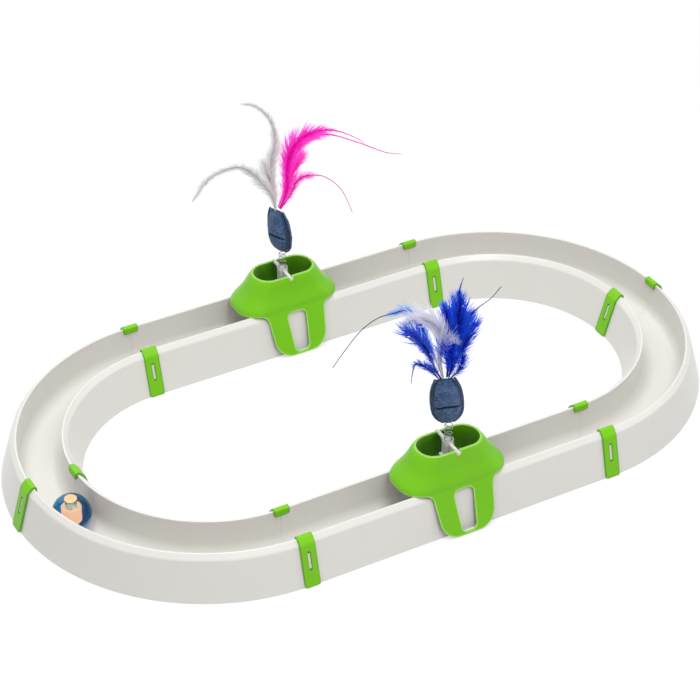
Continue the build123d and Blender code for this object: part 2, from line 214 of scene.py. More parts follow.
def mottle(tree, sizeMm, detail, colour, shade):  # a pattern of a real size, and two colours mixed by it
    pattern = addNode(tree, "ShaderNodeTexNoise", {
        "Vector": addNode(tree, "ShaderNodeTexCoord").outputs["Object"],
        "Scale": 1 / (sizeMm * mm), "Detail": detail,
    }).outputs["Fac"]
    mixed = addNode(tree, "ShaderNodeMix", {
        "Factor": pattern, 6: linear(colour), 7: linear(shade),
    }, data_type="RGBA").outputs[2]
    return pattern, mixed


# Hard plastics: even dyed colour, the smaller ones with a faint flow mottle and rounded edges
plastics = {
    "white": {
        "name": "mouldedWhitePolystyrene", "colour": "#d8d6d1", "roughness": (0.28, 0.28), "shine": 0.4,
        "ior": 1.55,
    },
    "cover": {
        "name": "mouldedGreenAbs", "colour": "#72be06", "shade": "#6bb505", "flowMm": 45,
        "roughness": (0.28, 0.36), "shine": 0.3, "ior": 1.53, "edgeMm": 1.0,
        # painted shade deepens the inside of the hood, and a painted highlight runs along its edges
        "hollow": "#0c5406", "hollowMm": 45, "rim": "#c4f08c", "rimMm": 2.5,
    },
    "clip": {
        "name": "mouldedGreenPolypropylene", "colour": "#76c10c", "shade": "#6fb908", "flowMm": 20,
        "roughness": (0.30, 0.38), "shine": 0.3, "ior": 1.49, "edgeMm": 0.5,
        # a dark line of painted shade along the clip's edges
        "rim": "#3f8a10", "rimMm": 2.0,
    },
    "rocker": {
        "name": "mouldedWhiteAcetal", "colour": "#e2e1de", "shade": "#dbdad6", "flowMm": 15,
        "roughness": (0.28, 0.36), "shine": 0.4, "ior": 1.48, "edgeMm": 0.35,
    },
    "lightCase": {
        "name": "mouldedOrangePolystyrene", "colour": "#f79a4c", "shade": "#ee8636", "flowMm": 8,
        "roughness": (0.25, 0.32), "shine": 0.4, "ior": 1.55, "edgeMm": 0.3,
        # painted glow of the case
        "glow": "#ff6942", "lit": 7.8,
    },
}
plasticLook = {
    "flowDetail": 3.0,
    "edgeSamples": 6,
    "rimSamples": 8,
    "rimTurn": (0.99, 0.9),  # cosine of flat to rounded normal, where the painted edge shading starts and is full
    "rimShare": 0.8,
    "hollowSamples": 8,
    "hollowOpen": (0.34, 0.56),  # share of open sky, where the painted shade is full and where it ends
}


def mouldedPlastic(s, look):  # gives an even colour, soft wide highlights, painted shade in hollows and painted light and shade along edges
    material, tree, shader, _ = newMaterial(s["name"])
    colour = linear(s["colour"])
    layers = []
    rough, roughest = s["roughness"]
    if "shade" in s:  # faint mottle from the flow of the melt
        flow, colour = mottle(tree, s["flowMm"], look["flowDetail"], s["colour"], s["shade"])
        rough = addNode(tree, "ShaderNodeMapRange", {"Value": flow, "To Min": rough, "To Max": roughest})
    if "hollow" in s:  # painted shade: a deeper colour where little light gets in
        sky = addNode(tree, "ShaderNodeAmbientOcclusion", {
            "Distance": s["hollowMm"] * mm,
        }, samples=look["hollowSamples"]).outputs["AO"]
        full, none = look["hollowOpen"]
        paintedShadeMask = addNode(tree, "ShaderNodeMapRange", {
            "Value": sky, "From Min": full, "From Max": none, "To Min": 1.0, "To Max": 0.0,
        })
        layers.append((paintedShadeMask, "hollow"))
    if "rim" in s:  # painted light along edges: a pale painted highlight on the cover, a dark line of painted shade on the clip
        flat = addNode(tree, "ShaderNodeNewGeometry").outputs["Normal"]
        bowed = addNode(tree, "ShaderNodeBevel", {"Radius": s["rimMm"] * mm}, samples=look["rimSamples"])
        alike = addNode(tree, "ShaderNodeVectorMath", {0: bowed, 1: flat}, operation="DOT_PRODUCT")
        start, full = look["rimTurn"]
        paintedEdgeMask = addNode(tree, "ShaderNodeMapRange", {
            "Value": alike.outputs["Value"], "From Min": start, "From Max": full,
            "To Max": look["rimShare"],
        })
        layers.append((paintedEdgeMask, "rim"))
    for share, tone in layers:
        colour = addNode(tree, "ShaderNodeMix", {
            "Factor": share, 6: colour, 7: linear(s[tone]),
        }, data_type="RGBA").outputs[2]
    if "edgeMm" in s:
        edge = addNode(tree, "ShaderNodeBevel", {"Radius": s["edgeMm"] * mm}, samples=look["edgeSamples"])
        setInputs(tree, shader, {"Normal": edge})
    if "glow" in s:  # painted glow: the case gives off light of its own, though it is no lamp
        setInputs(tree, shader, {"Emission Color": linear(s["glow"]), "Emission Strength": s["lit"]})
    setInputs(tree, shader, {
        "Base Color": colour, "Roughness": rough, "IOR": s["ior"], "Specular IOR Level": s["shine"],
    })
    return material


# Metals inside and on the springs
metals = {
    "spring": {
        "name": "drawnSpringSteel", "colour": "#a6a8a8", "stain": "#7f8181", "roughness": (0.18, 0.34),
        "streakMm": 2.5,
    },
    "slug": {
        "name": "turnedZincPlatedSteel", "colour": "#b8bbc0", "stain": "#9a9da3",
        "roughness": (0.28, 0.45), "streakMm": 1.5,
    },
    "cell": {
        "name": "pressedNickelPlatedSteel", "colour": "#d2d2cf", "stain": "#bdbdb9",
        "roughness": (0.12, 0.25), "streakMm": 1.0,
    },
    "switch": {
        "name": "drawnBrass", "colour": "#d2b060", "stain": "#b08f48", "roughness": (0.2, 0.35),
        "streakMm": 0.8,
    },
}
streakDetail = 4.0


def workedMetal(s):  # gives bright reflections broken by fine streaks and a little tarnish
    material, tree, shader, _ = newMaterial(s["name"])
    streak, colour = mottle(tree, s["streakMm"], streakDetail, s["colour"], s["stain"])
    low, high = s["roughness"]
    rough = addNode(tree, "ShaderNodeMapRange", {"Value": streak, "To Min": low, "To Max": high})
    setInputs(tree, shader, {"Base Color": colour, "Roughness": rough, "Metallic": 1.0})
    return material


# Clear and glassy pieces of the ball
clears = {
    "ball": {
        "name": "tintedClearPolycarbonate", "colour": "#5eb0d6", "roughness": 0.05, "ior": 1.3,
        "scuffMm": 6, "scuffDepthMm": 0.02,
    },
    "lamp": {
        "name": "clearEpoxyLamp", "colour": "#f2f4ff", "roughness": 0.1, "ior": 1.5,
        "scuffMm": 2, "scuffDepthMm": 0.01,
    },
}
scuffLook = {"detail": 5.0, "strength": 0.3}


def clearPlastic(s, scuffs):  # gives a see-through tint with sharp glints and a few soft scuffs
    material, tree, shader, surface = newMaterial(s["name"])
    height = addNode(tree, "ShaderNodeTexNoise", {
        "Vector": addNode(tree, "ShaderNodeTexCoord").outputs["Object"],
        "Scale": 1 / (s["scuffMm"] * mm), "Detail": scuffs["detail"],
    }).outputs["Fac"]
    bump = addNode(tree, "ShaderNodeBump", {
        "Height": height, "Strength": scuffs["strength"], "Distance": s["scuffDepthMm"] * mm,
    })
    setInputs(tree, shader, {
        "Base Color": linear(s["colour"]), "Roughness": s["roughness"], "IOR": s["ior"],
        "Transmission Weight": 1.0, "Normal": bump,
    })
    shadow = addNode(tree, "ShaderNodeLightPath").outputs["Is Shadow Ray"]  # light gets in
    tint = addNode(tree, "ShaderNodeBsdfTransparent", {"Color": linear(s["colour"])})
    both = addNode(tree, "ShaderNodeMixShader", {0: shadow, 1: shader, 2: tint})
    setInputs(tree, surface, {"Surface": both})
    return material


boardFinish = {
    "name": "solderMaskedBoard", "colour": "#1f6b3a", "track": "#2f8a4c", "blockMm": 5.6,
    "roughness": 0.35,
}


def boardMaterial(s):  # gives dark green lacquer with paler copper runs under it
    material, tree, shader, _ = newMaterial(s["name"])
    runs = addNode(tree, "ShaderNodeTexBrick", {
        "Vector": addNode(tree, "ShaderNodeTexCoord").outputs["Object"], "Scale": 1 / (s["blockMm"] * mm),
        "Color1": linear(s["colour"]), "Color2": linear(s["colour"]), "Mortar": linear(s["track"]),
    })
    setInputs(tree, shader, {"Base Color": runs.outputs["Color"], "Roughness": s["roughness"]})
    return material


def dressNodes(material, *starts):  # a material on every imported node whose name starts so
    for name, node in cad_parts.items():
        if name.startswith(starts):
            node.data.materials.clear()
            node.data.materials.append(material)


dressNodes(mouldedPlastic(plastics["white"], plasticLook), "straight_track", "curve_track")
dressNodes(mouldedPlastic(plastics["cover"], plasticLook), "feather_cover")
dressNodes(mouldedPlastic(plastics["clip"], plasticLook), "outer_clip", "inner_clip")
dressNodes(mouldedPlastic(plastics["rocker"], plasticLook), "rocker")
dressNodes(mouldedPlastic(plastics["lightCase"], plasticLook), "light_case")
dressNodes(workedMetal(metals["slug"]), "counterweight")
dressNodes(workedMetal(metals["cell"]), "button_cells")
dressNodes(workedMetal(metals["switch"]), "motion_switch")
dressNodes(clearPlastic(clears["ball"], scuffLook), "ball_shell")
dressNodes(clearPlastic(clears["lamp"], scuffLook), "led_lamp")
dressNodes(boardMaterial(boardFinish), "circuit_board")
print("packed nodes dressed")


inputKinds = {"Seed": "Int", "Material": "Material"}  # every other input of a tree is a Float


def newTree(name, *labels):  # a geometry tree with named inputs
    tree = bpy.data.node_groups.new(name, "GeometryNodeTree")
    tree.interface.new_socket("Geometry", in_out="INPUT", socket_type="NodeSocketGeometry")
    tree.interface.new_socket("Geometry", in_out="OUTPUT", socket_type="NodeSocketGeometry")
    for label in labels:
        kind = "NodeSocket" + inputKinds.get(label, "Float")
        tree.interface.new_socket(label, in_out="INPUT", socket_type=kind)
    return tree, addNode(tree, "NodeGroupInput").outputs


def closeTree(tree, geometry, material):  # real mesh with its material
    real = addNode(tree, "GeometryNodeRealizeInstances", {0: geometry})
    finished = addNode(tree, "GeometryNodeSetMaterial", {"Geometry": real, "Material": material})
    addNode(tree, "NodeGroupOutput", {0: finished})


def grow(name, mesh, tree, values):  # runs a tree on a mesh and keeps the plain result
    seed = newObject(name + "Seed", mesh)
    modifier = seed.modifiers.new("tree", "NODES")
    modifier.node_group = tree
    for item in tree.interface.items_tree:
        if item.in_out == "INPUT" and item.name in values:
            modifier[item.identifier] = values[item.name]
    graph = bpy.context.evaluated_depsgraph_get()
    result = bpy.data.meshes.new_from_object(
        seed.evaluated_get(graph), preserve_all_data_layers=True, depsgraph=graph,
    )
    bpy.data.objects.remove(seed)
    result.name = name
    return newObject(name, result)


def lineMesh(name, rows, closed=False):  # one polyline for each row of points
    points = [p for row in rows for p in row]
    edges = []
    start = 0
    for row in rows:
        edges += [(start + i, start + i + 1) for i in range(len(row) - 1)]
        if closed:
            edges.append((start + len(row) - 1, start))
        start += len(row)
    mesh = bpy.data.meshes.new(name)
    mesh.from_pydata(points, edges, [])
    return mesh


def runLengths(points):  # the way run along a line at each of its points
    lengths = [0.0]
    for a, b in zip(points, points[1:]):
        lengths.append(lengths[-1] + (b - a).length)
    return lengths


# Springs: an open coil of round wire whose end turns close up in their seats
springSizes = {
    "turns": 4.5, "radiusMm": 3.9, "wireMm": 0.85, "lowMm": 83.25, "seatMm": 85.6, "highMm": 105.3,
    "closing": 0.45, "stepsPerTurn": 40, "wireSides": 8,
}


def springTree(s):
    tree, sizes = newTree(
        "coilSpring", "Turns", "Radius", "Wire radius", "Height", "Closing", "Material",
    )
    coil = addNode(tree, "GeometryNodeCurveSpiral", {
        "Rotations": sizes["Turns"], "Start Radius": sizes["Radius"], "End Radius": sizes["Radius"],
        "Height": sizes["Height"], "Resolution": s["stepsPerTurn"],
    })
    share = addNode(tree, "GeometryNodeSplineParameter").outputs["Factor"]
    turn = addNode(tree, "ShaderNodeMath", {0: share, 1: 2 * math.pi}, operation="MULTIPLY")
    wave = addNode(tree, "ShaderNodeMath", {0: turn}, operation="SINE")
    sink = wave
    for factor in (sizes["Height"], sizes["Closing"], -1 / (2 * math.pi)):
        sink = addNode(tree, "ShaderNodeMath", {0: sink, 1: factor}, operation="MULTIPLY")
    offset = addNode(tree, "ShaderNodeCombineXYZ", {"Z": sink})
    shaped = addNode(tree, "GeometryNodeSetPosition", {"Geometry": coil, "Offset": offset})
    ring = addNode(tree, "GeometryNodeCurvePrimitiveCircle", {
        "Radius": sizes["Wire radius"], "Resolution": s["wireSides"],
    })
    wire = addNode(tree, "GeometryNodeCurveToMesh", {
        "Curve": shaped, "Profile Curve": ring, "Fill Caps": True,
    })
    smooth = addNode(tree, "GeometryNodeSetShadeSmooth", {"Geometry": wire})
    closeTree(tree, smooth, sizes["Material"])
    return tree


def makeSprings(s):
    tree = springTree(s)
    values = {
        "Turns": s["turns"], "Radius": s["radiusMm"] * mm, "Wire radius": s["wireMm"] / 2 * mm,
        "Height": (s["highMm"] - s["lowMm"] - s["wireMm"]) * mm, "Closing": s["closing"],
        "Material": workedMetal(metals["spring"]),
    }
    for side, teaser in teasers.items():
        y = teaser["y"]
        spring = grow(f"coilSpring{side.capitalize()}", bpy.data.meshes.new("coilSeed"), tree, values)
        spring.data.transform(Matrix.Translation((0, y, (s["lowMm"] + s["wireMm"] / 2) * mm)))
        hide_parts(f"spring_{side}")
        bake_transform(spring)


makeSprings(springSizes)
print("springs wound")

# Pods: stuffed denim pouches, two panels sewn at a flat edge, with a zigzag seam across the front
podSizes = {
    "heightMm": 55.0, "halfWidthMm": 16.9, "halfThickMm": 10.5,
    "outline": [  # share of the height, share of the half width
        (0.0, 0.30), (0.03, 0.47), (0.08, 0.66), (0.16, 0.84), (0.26, 0.95), (0.42, 1.0), (0.6, 0.99),
        (0.76, 0.92), (0.88, 0.80), (0.95, 0.70), (1.0, 0.62),
    ],
    "swell": [  # share of the height, share of the half thickness
        (0.0, 0.20), (0.05, 0.42), (0.14, 0.74), (0.28, 0.96), (0.45, 1.0), (0.65, 0.92), (0.82, 0.70),
        (0.94, 0.42), (1.0, 0.30),
    ],
    "outlineSteps": 48, "rows": 41, "around": 64,
    "edgeMm": 2.4, "edgeThickMm": 1.5, "edgeSides": 12,  # the flat sewn edge that stands round the panels
    "tuck": 0.8, "slackSwell": 0.86, "roundness": 0.85,  # the unfilled panels
    "voxelMm": 0.9, "simScale": 10.0, "pressure": 4.0, "slack": 0.05, "frames": 20, "fill": 0.7,
    "capMm": 1.4,  # the most that the filling moves a point
    "heldMm": 1.0, "heldEnds": 0.06,  # how near the edge, and the ends as a share, the cloth is held
    "seamHeight": 0.43, "seamReach": 0.66,  # shares of the height and of the half width
    # the last size below is how far the painted shade reaches in from the sewn edge
    "seamDepthMm": 0.9, "seamWidthMm": 1.3, "seamBowMm": 3.0, "seamFadeMm": 0.8, "edgeShadeMm": 1.6,
    "puckerMm": 0.28, "puckerPitchMm": 5.2, "puckerReachMm": 4.0, "puckerFlatMm": 1.5,
    "restless": 7, "restlessMm": 17,  # radians by which the puckers drift, and over what length
}


def readTable(table, x):  # smooth reading of a table of places and values
    spots = [p for p, _ in table]
    k = max(i for i in range(len(table) - 1) if x >= spots[i] or i == 0)
    slopes = []
    for i in (k, k + 1):
        before, after = max(i - 1, 0), min(i + 1, len(table) - 1)
        slopes.append((table[after][1] - table[before][1]) / (spots[after] - spots[before]))
    span = spots[k + 1] - spots[k]
    t = min(max((x - spots[k]) / span, 0), 1)
    bulge = (2 * t ** 3 - 3 * t ** 2 + 1) * table[k][1] + (3 * t ** 2 - 2 * t ** 3) * table[k + 1][1]
    return bulge + ((t ** 3 - 2 * t ** 2 + t) * slopes[0] + (t ** 3 - t ** 2) * slopes[1]) * span


def evenShares(steps):  # shares of a height, closer together at both ends
    return [0.5 - 0.5 * math.cos(math.pi * i / steps) for i in range(steps + 1)]


def podHalf(s, share):  # half the pod's width at a share of its height
    return readTable(s["outline"], share) * s["halfWidthMm"]


def podLoop(s, inset):  # the pod's outline in its own plane, across and up, closed and moved inwards
    shares = evenShares(s["outlineSteps"])
    right = [Vector((podHalf(s, share), share * s["heightMm"], 0)) for share in shares]
    loop = right + [Vector((-p.x, p.y, 0)) for p in reversed(right)]
    moved = []
    for i, p in enumerate(loop):
        along = loop[(i + 1) % len(loop)] - loop[i - 1]
        moved.append(p + Vector((-along.y, along.x, 0)).normalized() * inset)
    return moved


def podShell(s):  # the two panels as one closed mesh, a little slack so that the filling can swell it
    rows, around = s["rows"], s["around"]
    tuck = s["edgeMm"] * s["tuck"]
    points, faces = [], []
    for share in evenShares(rows - 1):
        half = podHalf(s, share) - tuck
        deep = readTable(s["swell"], share) * s["halfThickMm"] * s["slackSwell"]
        height = tuck + share * (s["heightMm"] - 2 * tuck)
        for i in range(around):
            turn = 2 * math.pi * i / around
            lift = math.copysign(abs(math.sin(turn)) ** s["roundness"], math.sin(turn))
            points.append(Vector((half * math.cos(turn), height, deep * lift)))
    for j in range(rows - 1):
        for i in range(around):
            k = (i + 1) % around
            faces.append((j * around + i, j * around + k, (j + 1) * around + k, (j + 1) * around + i))
    faces.append(tuple(reversed(range(around))))
    faces.append(tuple(range((rows - 1) * around, rows * around)))
    mesh = bpy.data.meshes.new("podShell")
    mesh.from_pydata([p * mm * s["simScale"] for p in points], [], faces)
    shape = bmesh.new()
    shape.from_mesh(mesh)
    bmesh.ops.recalc_face_normals(shape, faces=shape.faces)
    shape.to_mesh(mesh)
    shape.free()
    return mesh


def swellPod(s, pod):  # cloth held at the sewn edge and blown up by its filling
    unit = mm * s["simScale"]
    held = pod.vertex_groups.new(name="sewnEdge")
    for v in pod.data.vertices:
        share = min(max(v.co.y / unit / s["heightMm"], 0), 1)
        gap = podHalf(s, share) - s["edgeMm"] * s["tuck"] - abs(v.co.x / unit)
        if gap < s["heldMm"] or min(share, 1 - share) < s["heldEnds"]:
            held.add([v.index], 1.0, "REPLACE")
    cloth = pod.modifiers.new("cloth", "CLOTH")
    cloth.settings.vertex_group_mass = "sewnEdge"
    cloth.settings.use_pressure = True
    cloth.settings.uniform_pressure_force = s["pressure"]
    cloth.settings.shrink_min = -s["slack"]
    cloth.settings.effector_weights.gravity = 0
    cloth.point_cache.frame_end = s["frames"]
    for step in range(1, s["frames"] + 1):
        scene.frame_set(step)
    bpy.ops.object.modifier_apply(modifier="cloth")
    scene.frame_set(1)


def fillPod(s):  # swells the panels at a larger scale, where the cloth is steadier, and refines them
    pod = newObject("podFilling", podShell(s))
    remesh = pod.modifiers.new("voxels", "REMESH")
    remesh.mode = "VOXEL"
    remesh.voxel_size = s["voxelMm"] * mm * s["simScale"]
    bpy.context.view_layer.objects.active = pod
    bpy.ops.object.modifier_apply(modifier="voxels")
    rest = [v.co.copy() for v in pod.data.vertices]
    swellPod(s, pod)
    cap = s["capMm"] * mm * s["simScale"]
    for v, start in zip(pod.data.vertices, rest):
        shift = v.co - start
        v.co = start + shift * min(1.0, cap / max(shift.length, 1e-9))
    pod.data.transform(Matrix.Scale(1 / s["simScale"], 4))
    finer = pod.modifiers.new("finer", "SUBSURF")
    finer.levels = finer.render_levels = 1
    bpy.ops.object.modifier_apply(modifier="finer")
    return pod


def seamLine(s, x, reach):  # the seam's height in mm, bowed up so that it looks straight from above
    return s["seamHeight"] * s["heightMm"] + s["seamBowMm"] * (1 - (x / reach) ** 2)


def sewPod(s, pod):  # draws in the seam and the edge's puckers, and stores how much painted shade each point takes in the creases of the sewn edge and the seam
    loop = podLoop(s, s["edgeMm"])
    lengths = runLengths(loop)
    hollow = []
    for v in pod.data.vertices:
        spot = Vector((v.co.x, v.co.y, 0)) / mm
        near = min(range(len(loop)), key=lambda i: (loop[i] - spot).length_squared)
        gap = (loop[near] - spot).length
        outward = 1 if v.co.z > 0 else -1
        drift = s["restless"] * math.sin(lengths[near] / s["restlessMm"])
        wave = math.sin(2 * math.pi * lengths[near] / s["puckerPitchMm"] + drift)
        rise = min(1, abs(v.co.z) / mm / s["puckerFlatMm"])
        change = s["puckerMm"] * wave * math.exp(-gap / s["puckerReachMm"]) * rise
        reach = podHalf(s, min(max(spot.y / s["heightMm"], 0), 1)) * s["seamReach"]
        # painted shade, darkest in the crease along the sewn edge and in the seam
        creaseShadeMask = math.exp(-(gap / s["edgeShadeMm"]) ** 2)
        if v.co.z > 0:
            fade = 1 / (1 + math.exp((abs(spot.x) - reach) / s["seamFadeMm"]))
            sunk = fade * math.exp(-((spot.y - seamLine(s, spot.x, reach)) / s["seamWidthMm"]) ** 2)
            change -= s["seamDepthMm"] * sunk
            creaseShadeMask = max(creaseShadeMask, sunk)
        hollow.append(creaseShadeMask)
        v.co.z += outward * change * mm
    kept = pod.data.attributes.new("hollow", "FLOAT", "POINT")
    kept.data.foreach_set("value", hollow)
    pod.data.update()


def edgeTree(s):  # a flat rounded edge along a closed line
    tree, sizes = newTree("sewnEdge", "Edge width", "Edge thickness", "Material")
    line = addNode(tree, "GeometryNodeMeshToCurve", {"Mesh": sizes["Geometry"]})
    flat = addNode(tree, "GeometryNodeSetCurveNormal", {"Curve": line}, mode="Z_UP")
    ring = addNode(tree, "GeometryNodeCurvePrimitiveCircle", {
        "Resolution": s["edgeSides"], "Radius": 0.5,
    })
    size = addNode(tree, "ShaderNodeCombineXYZ", {
        "X": sizes["Edge width"], "Y": sizes["Edge thickness"], "Z": 1.0,
    })
    oval = addNode(tree, "GeometryNodeTransform", {"Geometry": ring, "Scale": size})
    band = addNode(tree, "GeometryNodeCurveToMesh", {"Curve": flat, "Profile Curve": oval})
    smooth = addNode(tree, "GeometryNodeSetShadeSmooth", {"Geometry": band})
    closeTree(tree, smooth, sizes["Material"])
    return tree


# Thread: short stitches that follow a line on the cloth
stitchSizes = {
    "lengthMm": 2.1, "pitchMm": 2.9, "widthMm": 0.55, "insetMm": 1.5, "beadLevel": 2, "seed": 3,
    "zigzagMm": 1.9, "zigzagPitchMm": 2.2, "zigzagWidthMm": 0.8,
    "zigzagSpacing": 0.45, "zigzagLength": 0.9,  # shares of the zigzag's pitch
    "skew": (0.05, 0.05, 0.12),  # the most that a stitch is turned, in radians
    "castMm": 30,  # how far off the panel the search for its cloth starts
}


def stitchTree(s):
    tree, sizes = newTree("stitchRow", "Pitch", "Stitch length", "Thread width", "Seed", "Material")
    line = addNode(tree, "GeometryNodeMeshToCurve", {"Mesh": sizes["Geometry"]})
    spaced = addNode(tree, "GeometryNodeResampleCurve", {
        "Curve": line, "Length": sizes["Pitch"],
    }, mode="LENGTH")
    normal = addNode(tree, "GeometryNodeInputNamedAttribute", {
        "Name": "clothNormal",
    }, data_type="FLOAT_VECTOR")
    turn = addNode(tree, "FunctionNodeAxesToRotation", {
        "Primary Axis": addNode(tree, "GeometryNodeInputTangent"), "Secondary Axis": normal,
    }, primary_axis="X", secondary_axis="Z")
    jitter = addNode(tree, "FunctionNodeRandomValue", {
        0: [-angle for angle in s["skew"]], 1: s["skew"], 8: sizes["Seed"],
    }, data_type="FLOAT_VECTOR")
    skew = addNode(tree, "FunctionNodeEulerToRotation", {0: jitter})
    turned = addNode(tree, "FunctionNodeRotateRotation", {0: turn, 1: skew}, rotation_space="LOCAL")
    bead = addNode(tree, "GeometryNodeMeshIcoSphere", {"Radius": 0.5, "Subdivisions": s["beadLevel"]})
    width = sizes["Thread width"]
    size = addNode(tree, "ShaderNodeCombineXYZ", {"X": sizes["Stitch length"], "Y": width, "Z": width})
    row = addNode(tree, "GeometryNodeInstanceOnPoints", {
        "Points": spaced, "Instance": bead.outputs["Mesh"], "Rotation": turned, "Scale": size,
    })
    closeTree(tree, row, sizes["Material"])
    return tree


denimFinish = {
    "name": "wovenBlueDenim", "warp": "#314b74", "weft": "#59759d", "fade": "#6683ab", "deep": "#16233e",
    # on the next line, the first colour is painted shade in the pod's creases and the last share is how
    # much of it is laid on
    "paintedCreaseShade": "#0f182c", "warpShare": 0.12, "paintedCreaseShadeShare": 0.8,
    "threadMm": 1.3, "twillTurn": (0.6, 0.5, 0.8), "twillShare": 0.3, "twillWobble": 3.0,
    "twillDetail": 3.0, "twillDetailScale": 2.0,
    "fleckMm": 2.08, "fleckDetail": 4.0, "fleckRoughness": 0.7, "fleckRange": (0.38, 0.62),
    "fadeMm": 7, "fadeDetail": 3.0, "fadeRange": (0.45, 0.75), "fadeShare": 0.4,
    "reliefMm": 0.3, "reliefStrength": 0.8, "roughness": 0.9, "sheen": 0.12, "shine": 0.2,
}
waveBand = 0.35  # how far apart a wave texture's bands lie, about, at a scale of 1


def denimMaterial(s):  # gives a dark blue twill with pale flecks, worn patches and painted shade in the creases, coarse to show
    material, tree, shader, _ = newMaterial(s["name"])
    place = addNode(tree, "ShaderNodeTexCoord").outputs["Object"]
    turned = addNode(tree, "ShaderNodeMapping", {"Vector": place, "Rotation": s["twillTurn"]})
    twill = addNode(tree, "ShaderNodeTexWave", {
        "Vector": turned, "Scale": waveBand / (s["threadMm"] * mm), "Distortion": s["twillWobble"],
        "Detail": s["twillDetail"], "Detail Scale": s["twillDetailScale"],
    }).outputs["Fac"]
    fleck = addNode(tree, "ShaderNodeTexNoise", {
        "Vector": place, "Scale": 1 / (s["fleckMm"] * mm), "Detail": s["fleckDetail"],
        "Roughness": s["fleckRoughness"],
    }).outputs["Fac"]
    low, high = s["fleckRange"]
    tuft = addNode(tree, "ShaderNodeMapRange", {"Value": fleck, "From Min": low, "From Max": high})
    weave = addNode(tree, "ShaderNodeMix", {0: s["twillShare"], 2: tuft, 3: twill})
    yarn = addNode(tree, "ShaderNodeMix", {
        "Factor": weave, 6: linear(s["deep"]), 7: linear(s["weft"]),
    }, data_type="RGBA")
    worn = addNode(tree, "ShaderNodeTexNoise", {
        "Vector": place, "Scale": 1 / (s["fadeMm"] * mm), "Detail": s["fadeDetail"],
    }).outputs["Fac"]
    low, high = s["fadeRange"]
    patch = addNode(tree, "ShaderNodeMapRange", {
        "Value": worn, "From Min": low, "From Max": high, "To Min": 0.0, "To Max": s["fadeShare"],
    })
    # painted shade in the creases along the sewn edge and the seam
    hollow = addNode(tree, "ShaderNodeAttribute", attribute_name="hollow").outputs["Fac"]
    creaseShadeAmount = addNode(tree, "ShaderNodeMath", {0: hollow, 1: s["paintedCreaseShadeShare"]}, operation="MULTIPLY")
    colour = yarn.outputs[2]
    for share, tone in ((s["warpShare"], "warp"), (patch, "fade"), (creaseShadeAmount, "paintedCreaseShade")):
        colour = addNode(tree, "ShaderNodeMix", {
            "Factor": share, 6: colour, 7: linear(s[tone]),
        }, data_type="RGBA").outputs[2]
    bump = addNode(tree, "ShaderNodeBump", {
        "Height": weave, "Strength": s["reliefStrength"], "Distance": s["reliefMm"] * mm,
    })
    setInputs(tree, shader, {
        "Base Color": colour, "Roughness": s["roughness"], "Sheen Weight": s["sheen"],
        "Specular IOR Level": s["shine"], "Normal": bump,
    })
    return material


threadFinish = {
    "name": "twistedNavyThread", "colour": "#111c36", "shade": "#0a1226", "plyMm": 0.4,
    "plyDetail": 2.0, "reliefMm": 0.05, "reliefStrength": 0.6, "roughness": 0.7, "shine": 0.15,
}


def threadMaterial(s):  # gives a dark slightly shiny cord with a fine ply
    material, tree, shader, _ = newMaterial(s["name"])
    ply, colour = mottle(tree, s["plyMm"], s["plyDetail"], s["colour"], s["shade"])
    bump = addNode(tree, "ShaderNodeBump", {
        "Height": ply, "Strength": s["reliefStrength"], "Distance": s["reliefMm"] * mm,
    })
    setInputs(tree, shader, {
        "Base Color": colour, "Roughness": s["roughness"], "Specular IOR Level": s["shine"],
        "Normal": bump,
    })
    return material


def onCloth(surface, spots, side, cast):  # where lines square to the panel meet the cloth, and normals
    points, normals = [], []
    for spot in spots:
        above = Vector((spot[0] * mm, spot[1] * mm, side * cast))
        hit, normal, _, _ = surface.ray_cast(above, Vector((0, 0, -side)))
        if hit:
            points.append(hit)
            normals.append(normal)
    return points, normals


def sewRow(name, tree, lines, values, closed):  # stitches along lines of points and normals
    mesh = lineMesh(name + "Line", [points for points, _ in lines], closed)
    kept = mesh.attributes.new("clothNormal", "FLOAT_VECTOR", "POINT")
    kept.data.foreach_set("vector", [c for _, normals in lines for n in normals for c in n])
    return grow(name, mesh, tree, values)


def zigzagLine(s, t):  # the turning points of the zigzag across the front panel
    reach = podHalf(s, s["seamHeight"]) * s["seamReach"]
    steps = int(2 * reach / t["zigzagPitchMm"] * 2)
    spots = []
    for i in range(steps + 1):
        x = -reach + 2 * reach * i / steps
        spots.append((x, seamLine(s, x, reach) + t["zigzagMm"] / 2 * (-1) ** i))
    return spots


